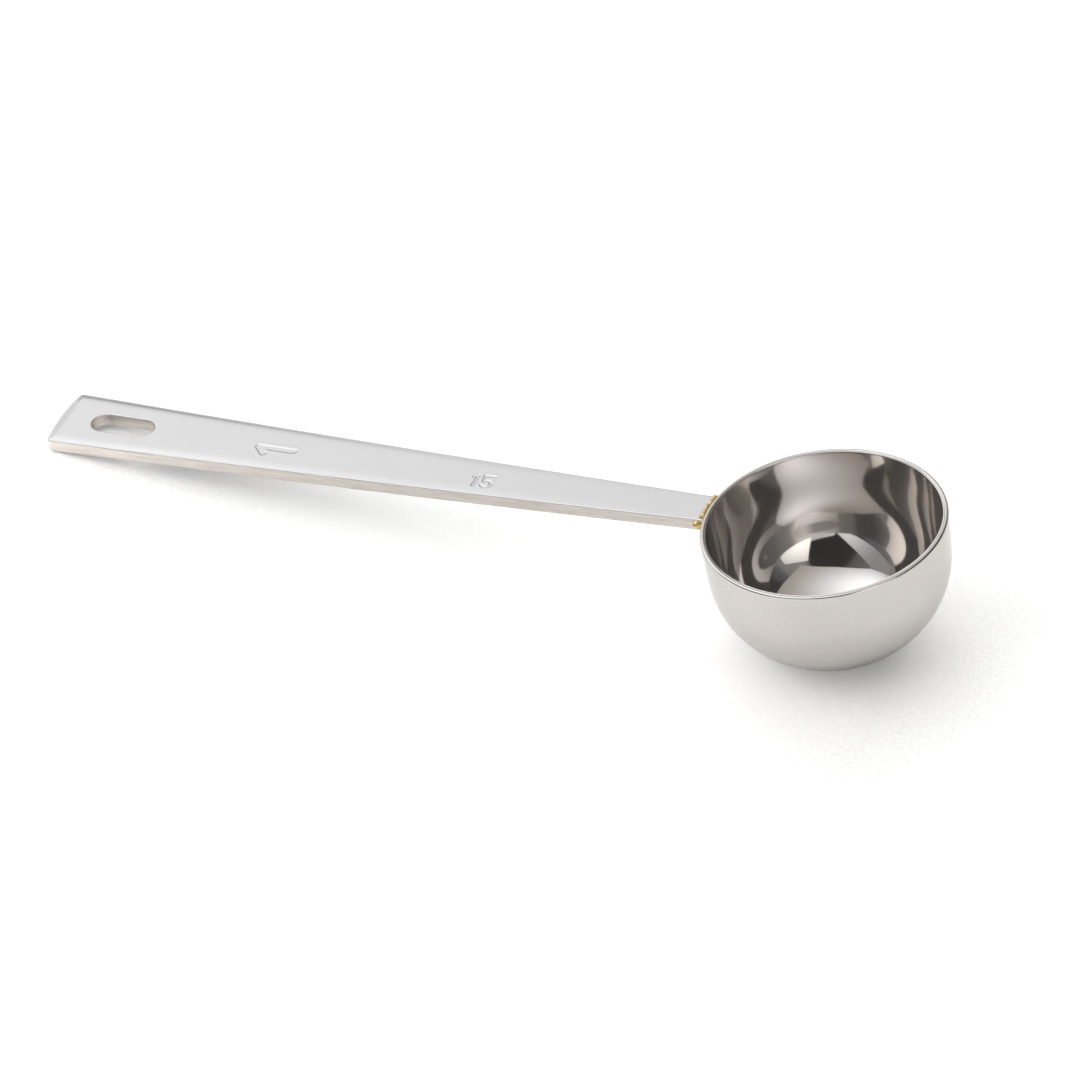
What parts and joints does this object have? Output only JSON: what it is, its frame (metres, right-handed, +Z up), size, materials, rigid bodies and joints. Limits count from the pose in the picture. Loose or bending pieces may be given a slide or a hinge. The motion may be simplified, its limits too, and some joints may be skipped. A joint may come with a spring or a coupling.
{
  "type": "measuring spoon",
  "caption": "Steel measuring spoon: a deep round bowl brazed to a flat, tapered handle with a hanging slot and stamped capacity numbers.",
  "frame": {"origin": "on the worktop, under the middle of the spoon's bounding box", "axes": "+Z up, +X from the handle towards the bowl; the spoon lies as it does on a worktop, so its rim leans 8.8 degrees"},
  "size_m": [0.1428, 0.0366, 0.0243],
  "materials": {
    "bowl_steel": "polished",
    "handle_steel": "polished",
    "braze_brass": "satin"
  },
  "bodies": {
    "root": {"bowl": "bowl_steel", "handle": "handle_steel", "braze": "braze_brass"}
  },
  "joints": []
}
